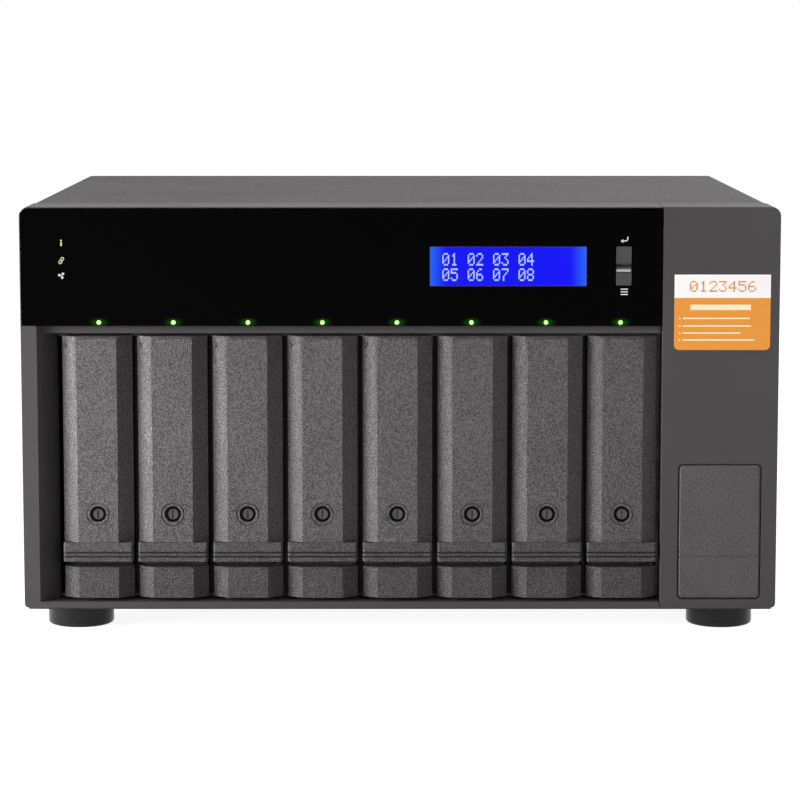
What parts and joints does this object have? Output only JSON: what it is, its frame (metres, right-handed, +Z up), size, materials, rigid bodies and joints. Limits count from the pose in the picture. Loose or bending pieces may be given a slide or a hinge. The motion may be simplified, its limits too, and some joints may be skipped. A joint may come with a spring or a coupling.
{
  "type": "disk shelf enclosure",
  "caption": "Desktop enclosure for a row of upright disk drives in sliding trays with hinged, locking handles, a display panel, rear fans, data ports and a power supply.",
  "frame": {"origin": "middle of the footprint, on the surface that the feet rest on", "axes": "+Z up, -Y towards the front where the trays slide out, +X to the right seen from the front"},
  "size_m": [0.329, 0.28, 0.188],
  "materials": {
    "handle_plastic": "fine-grained moulded charcoal plastic",
    "front_plastic": "smooth satin charcoal plastic",
    "fascia_gloss": "polished black acrylic",
    "display_glass": "blue lit window under clear gloss",
    "light_pipe": "clear acrylic rod, lit green",
    "cover_paint": "wrinkle powder coat on sheet steel",
    "zinc_steel": "zinc-plated sheet steel",
    "rear_paint": "fine black powder coat on sheet steel",
    "carrier_plastic": "glass-filled black plastic",
    "drive_metal": "cast housing with a stamped lid",
    "lock_metal": "dark nickel-plated zinc",
    "guide_plastic": "self-lubricating black plastic",
    "circuit_board": "green solder mask",
    "connector_plastic": "black moulded connector plastic",
    "fan_plastic": "black moulded plastic",
    "rotor_plastic": "black moulded plastic",
    "port_steel": "bright plated shell",
    "foot_rubber": "satin black rubber",
    "screw_nickel": "nickel-plated steel",
    "button_plastic": "satin grey plastic",
    "wiring": "sleeved wires and flat cable"
  },
  "bodies": {
    "enclosure": {"base_pan": "zinc_steel", "rear_panel": "rear_paint", "top_cover": "cover_paint", "bay_bezel": "front_plastic", "side_column": "front_plastic", "display_fascia": "fascia_gloss", "display_module": "display_glass", "light_pipes": "light_pipe", "access_plate": "handle_plastic", "front_panel_board": "circuit_board", "drive_cage": "zinc_steel", "guide_rails": "guide_plastic", "backplane_board": "circuit_board", "drive_sockets": "connector_plastic", "fan_frames": "fan_plastic", "power_supply_case": "zinc_steel", "mains_inlet": "connector_plastic", "controller_board": "circuit_board", "data_ports": "port_steel", "feet": "foot_rubber", "fasteners": "screw_nickel", "wiring_harness": "wiring"},
    "tray_1": {"tray_1_carrier": "carrier_plastic", "tray_1_drive": "drive_metal"},
    "handle_1": {"tray_1_handle": "handle_plastic"},
    "lock_1": {"tray_1_lock": "lock_metal"},
    "tray_2": {"tray_2_carrier": "carrier_plastic", "tray_2_drive": "drive_metal"},
    "handle_2": {"tray_2_handle": "handle_plastic"},
    "lock_2": {"tray_2_lock": "lock_metal"},
    "tray_3": {"tray_3_carrier": "carrier_plastic", "tray_3_drive": "drive_metal"},
    "handle_3": {"tray_3_handle": "handle_plastic"},
    "lock_3": {"tray_3_lock": "lock_metal"},
    "tray_4": {"tray_4_carrier": "carrier_plastic", "tray_4_drive": "drive_metal"},
    "handle_4": {"tray_4_handle": "handle_plastic"},
    "lock_4": {"tray_4_lock": "lock_metal"},
    "tray_5": {"tray_5_carrier": "carrier_plastic", "tray_5_drive": "drive_metal"},
    "handle_5": {"tray_5_handle": "handle_plastic"},
    "lock_5": {"tray_5_lock": "lock_metal"},
    "tray_6": {"tray_6_carrier": "carrier_plastic", "tray_6_drive": "drive_metal"},
    "handle_6": {"tray_6_handle": "handle_plastic"},
    "lock_6": {"tray_6_lock": "lock_metal"},
    "tray_7": {"tray_7_carrier": "carrier_plastic", "tray_7_drive": "drive_metal"},
    "handle_7": {"tray_7_handle": "handle_plastic"},
    "lock_7": {"tray_7_lock": "lock_metal"},
    "tray_8": {"tray_8_carrier": "carrier_plastic", "tray_8_drive": "drive_metal"},
    "handle_8": {"tray_8_handle": "handle_plastic"},
    "lock_8": {"tray_8_lock": "lock_metal"},
    "enter_button_cap": {"enter_button": "button_plastic"},
    "select_button_cap": {"select_button": "button_plastic"},
    "power_button_cap": {"power_button": "button_plastic"},
    "fan_rotor_left_body": {"fan_rotor_left": "rotor_plastic"},
    "fan_rotor_right_body": {"fan_rotor_right": "rotor_plastic"},
    "power_supply_fan_rotor_body": {"power_supply_fan_rotor": "rotor_plastic"}
  },
  "joints": [
    {"name": "tray_1_slide", "type": "slide", "parent": "enclosure", "child": "tray_1", "axis": [0, -1, 0], "range_m": [0, 0.15]},
    {"name": "tray_1_handle_hinge", "type": "hinge", "parent": "tray_1", "child": "handle_1", "pos_m": [-0.13195, -0.1348, 0.1277], "axis": [-1, 0, 0], "range_deg": [0, 60]},
    {"name": "tray_1_lock_turn", "type": "hinge", "parent": "handle_1", "child": "lock_1", "pos_m": [-0.13195, -0.137, 0.0537], "axis": [0, 1, 0], "range_deg": [0, 90]},
    {"name": "tray_2_slide", "type": "slide", "parent": "enclosure", "child": "tray_2", "axis": [0, -1, 0], "range_m": [0, 0.15]},
    {"name": "tray_2_handle_hinge", "type": "hinge", "parent": "tray_2", "child": "handle_2", "pos_m": [-0.09925, -0.1348, 0.1277], "axis": [-1, 0, 0], "range_deg": [0, 60]},
    {"name": "tray_2_lock_turn", "type": "hinge", "parent": "handle_2", "child": "lock_2", "pos_m": [-0.09925, -0.137, 0.0537], "axis": [0, 1, 0], "range_deg": [0, 90]},
    {"name": "tray_3_slide", "type": "slide", "parent": "enclosure", "child": "tray_3", "axis": [0, -1, 0], "range_m": [0, 0.15]},
    {"name": "tray_3_handle_hinge", "type": "hinge", "parent": "tray_3", "child": "handle_3", "pos_m": [-0.06655, -0.1348, 0.1277], "axis": [-1, 0, 0], "range_deg": [0, 60]},
    {"name": "tray_3_lock_turn", "type": "hinge", "parent": "handle_3", "child": "lock_3", "pos_m": [-0.06655, -0.137, 0.0537], "axis": [0, 1, 0], "range_deg": [0, 90]},
    {"name": "tray_4_slide", "type": "slide", "parent": "enclosure", "child": "tray_4", "axis": [0, -1, 0], "range_m": [0, 0.15]},
    {"name": "tray_4_handle_hinge", "type": "hinge", "parent": "tray_4", "child": "handle_4", "pos_m": [-0.03385, -0.1348, 0.1277], "axis": [-1, 0, 0], "range_deg": [0, 60]},
    {"name": "tray_4_lock_turn", "type": "hinge", "parent": "handle_4", "child": "lock_4", "pos_m": [-0.03385, -0.137, 0.0537], "axis": [0, 1, 0], "range_deg": [0, 90]},
    {"name": "tray_5_slide", "type": "slide", "parent": "enclosure", "child": "tray_5", "axis": [0, -1, 0], "range_m": [0, 0.15]},
    {"name": "tray_5_handle_hinge", "type": "hinge", "parent": "tray_5", "child": "handle_5", "pos_m": [-0.00115, -0.1348, 0.1277], "axis": [-1, 0, 0], "range_deg": [0, 60]},
    {"name": "tray_5_lock_turn", "type": "hinge", "parent": "handle_5", "child": "lock_5", "pos_m": [-0.00115, -0.137, 0.0537], "axis": [0, 1, 0], "range_deg": [0, 90]},
    {"name": "tray_6_slide", "type": "slide", "parent": "enclosure", "child": "tray_6", "axis": [0, -1, 0], "range_m": [0, 0.15]},
    {"name": "tray_6_handle_hinge", "type": "hinge", "parent": "tray_6", "child": "handle_6", "pos_m": [0.03155, -0.1348, 0.1277], "axis": [-1, 0, 0], "range_deg": [0, 60]},
    {"name": "tray_6_lock_turn", "type": "hinge", "parent": "handle_6", "child": "lock_6", "pos_m": [0.03155, -0.137, 0.0537], "axis": [0, 1, 0], "range_deg": [0, 90]},
    {"name": "tray_7_slide", "type": "slide", "parent": "enclosure", "child": "tray_7", "axis": [0, -1, 0], "range_m": [0, 0.15]},
    {"name": "tray_7_handle_hinge", "type": "hinge", "parent": "tray_7", "child": "handle_7", "pos_m": [0.06425, -0.1348, 0.1277], "axis": [-1, 0, 0], "range_deg": [0, 60]},
    {"name": "tray_7_lock_turn", "type": "hinge", "parent": "handle_7", "child": "lock_7", "pos_m": [0.06425, -0.137, 0.0537], "axis": [0, 1, 0], "range_deg": [0, 90]},
    {"name": "tray_8_slide", "type": "slide", "parent": "enclosure", "child": "tray_8", "axis": [0, -1, 0], "range_m": [0, 0.15]},
    {"name": "tray_8_handle_hinge", "type": "hinge", "parent": "tray_8", "child": "handle_8", "pos_m": [0.09695, -0.1348, 0.1277], "axis": [-1, 0, 0], "range_deg": [0, 60]},
    {"name": "tray_8_lock_turn", "type": "hinge", "parent": "handle_8", "child": "lock_8", "pos_m": [0.09695, -0.137, 0.0537], "axis": [0, 1, 0], "range_deg": [0, 90]},
    {"name": "enter_button_press", "type": "slide", "parent": "enclosure", "child": "enter_button_cap", "axis": [0, 1, 0], "range_m": [0, 0.0008], "stiffness_N_per_m": 1500},
    {"name": "select_button_press", "type": "slide", "parent": "enclosure", "child": "select_button_cap", "axis": [0, 1, 0], "range_m": [0, 0.0008], "stiffness_N_per_m": 1500},
    {"name": "power_button_press", "type": "slide", "parent": "enclosure", "child": "power_button_cap", "axis": [0, -1, 0], "range_m": [0, 0.001], "stiffness_N_per_m": 1500},
    {"name": "fan_rotor_left_spin", "type": "hinge", "parent": "enclosure", "child": "fan_rotor_left_body", "pos_m": [-0.08, 0.122, 0.076], "axis": [0, 1, 0], "continuous": true},
    {"name": "fan_rotor_right_spin", "type": "hinge", "parent": "enclosure", "child": "fan_rotor_right_body", "pos_m": [0.044, 0.122, 0.076], "axis": [0, 1, 0], "continuous": true},
    {"name": "power_supply_fan_rotor_spin", "type": "hinge", "parent": "enclosure", "child": "power_supply_fan_rotor_body", "pos_m": [0.13475, 0.122, 0.0338], "axis": [0, 1, 0], "continuous": true}
  ]
}
